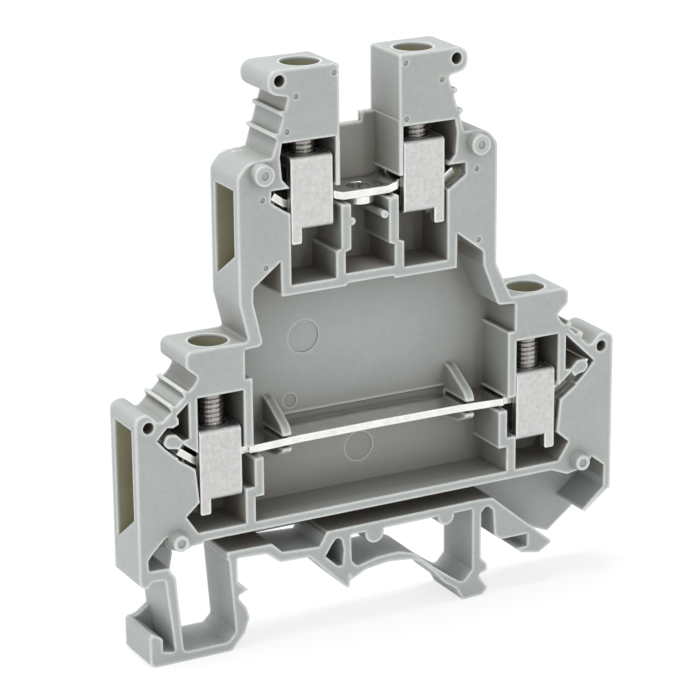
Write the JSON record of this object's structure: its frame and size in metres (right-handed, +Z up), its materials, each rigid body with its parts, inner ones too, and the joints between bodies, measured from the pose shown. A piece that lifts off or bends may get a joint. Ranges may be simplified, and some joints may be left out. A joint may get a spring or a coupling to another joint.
{
  "type": "rail terminal block",
  "caption": "Two-tier screw terminal block for a 35 mm mounting rail, open on one side, with clamping cages on two current bars and a spring foot.",
  "frame": {"origin": "under the middle of the block, at the bottom of its foot", "axes": "X along the block, Y from its open side to its closed side, Z up, away from the rail"},
  "size_m": [0.056, 0.0074, 0.0605],
  "materials": {
    "moulding": "fine satin moulding",
    "current_bar": "bright tin plate",
    "cage": "zinc plate",
    "screw": "zinc plate, dulled"
  },
  "bodies": {
    "block": {"housing": "moulding", "upper_current_bar": "current_bar", "lower_current_bar": "current_bar"},
    "upper_left_cage_body": {"upper_left_cage": "cage"},
    "upper_right_cage_body": {"upper_right_cage": "cage"},
    "lower_left_cage_body": {"lower_left_cage": "cage"},
    "lower_right_cage_body": {"lower_right_cage": "cage"},
    "upper_left_screw_body": {"upper_left_screw": "screw"},
    "upper_right_screw_body": {"upper_right_screw": "screw"},
    "lower_left_screw_body": {"lower_left_screw": "screw"},
    "lower_right_screw_body": {"lower_right_screw": "screw"}
  },
  "joints": [
    {"name": "upper_left_screw_turn", "type": "hinge", "parent": "block", "child": "upper_left_screw_body", "pos_m": [-0.00785, 0.0002, 0.055], "axis": [0, 0, -1], "range_deg": [-1730, 794]},
    {"name": "upper_left_cage_slide", "type": "slide", "parent": "block", "child": "upper_left_cage_body", "axis": [0, 0, 1], "range_m": [-0.0024, 0.0011]},
    {"name": "upper_right_screw_turn", "type": "hinge", "parent": "block", "child": "upper_right_screw_body", "pos_m": [0.00501, 0.0002, 0.055], "axis": [0, 0, -1], "range_deg": [-1730, 794]},
    {"name": "upper_right_cage_slide", "type": "slide", "parent": "block", "child": "upper_right_cage_body", "axis": [0, 0, 1], "range_m": [-0.0024, 0.0011]},
    {"name": "lower_left_screw_turn", "type": "hinge", "parent": "block", "child": "lower_left_screw_body", "pos_m": [-0.01858, 0.0002, 0.028], "axis": [0, 0, -1], "range_deg": [-866, 1946]},
    {"name": "lower_left_cage_slide", "type": "slide", "parent": "block", "child": "lower_left_cage_body", "axis": [0, 0, 1], "range_m": [-0.0012, 0.0027]},
    {"name": "lower_right_screw_turn", "type": "hinge", "parent": "block", "child": "lower_right_screw_body", "pos_m": [0.01858, 0.0002, 0.028], "axis": [0, 0, -1], "range_deg": [-866, 1946]},
    {"name": "lower_right_cage_slide", "type": "slide", "parent": "block", "child": "lower_right_cage_body", "axis": [0, 0, 1], "range_m": [-0.0012, 0.0027]}
  ],
  "couplings": [
    {"joint": "upper_left_screw_turn", "follows": "upper_left_cage_slide", "rad_per_m": 12566},
    {"joint": "upper_right_screw_turn", "follows": "upper_right_cage_slide", "rad_per_m": 12566},
    {"joint": "lower_left_screw_turn", "follows": "lower_left_cage_slide", "rad_per_m": 12566},
    {"joint": "lower_right_screw_turn", "follows": "lower_right_cage_slide", "rad_per_m": 12566}
  ]
}
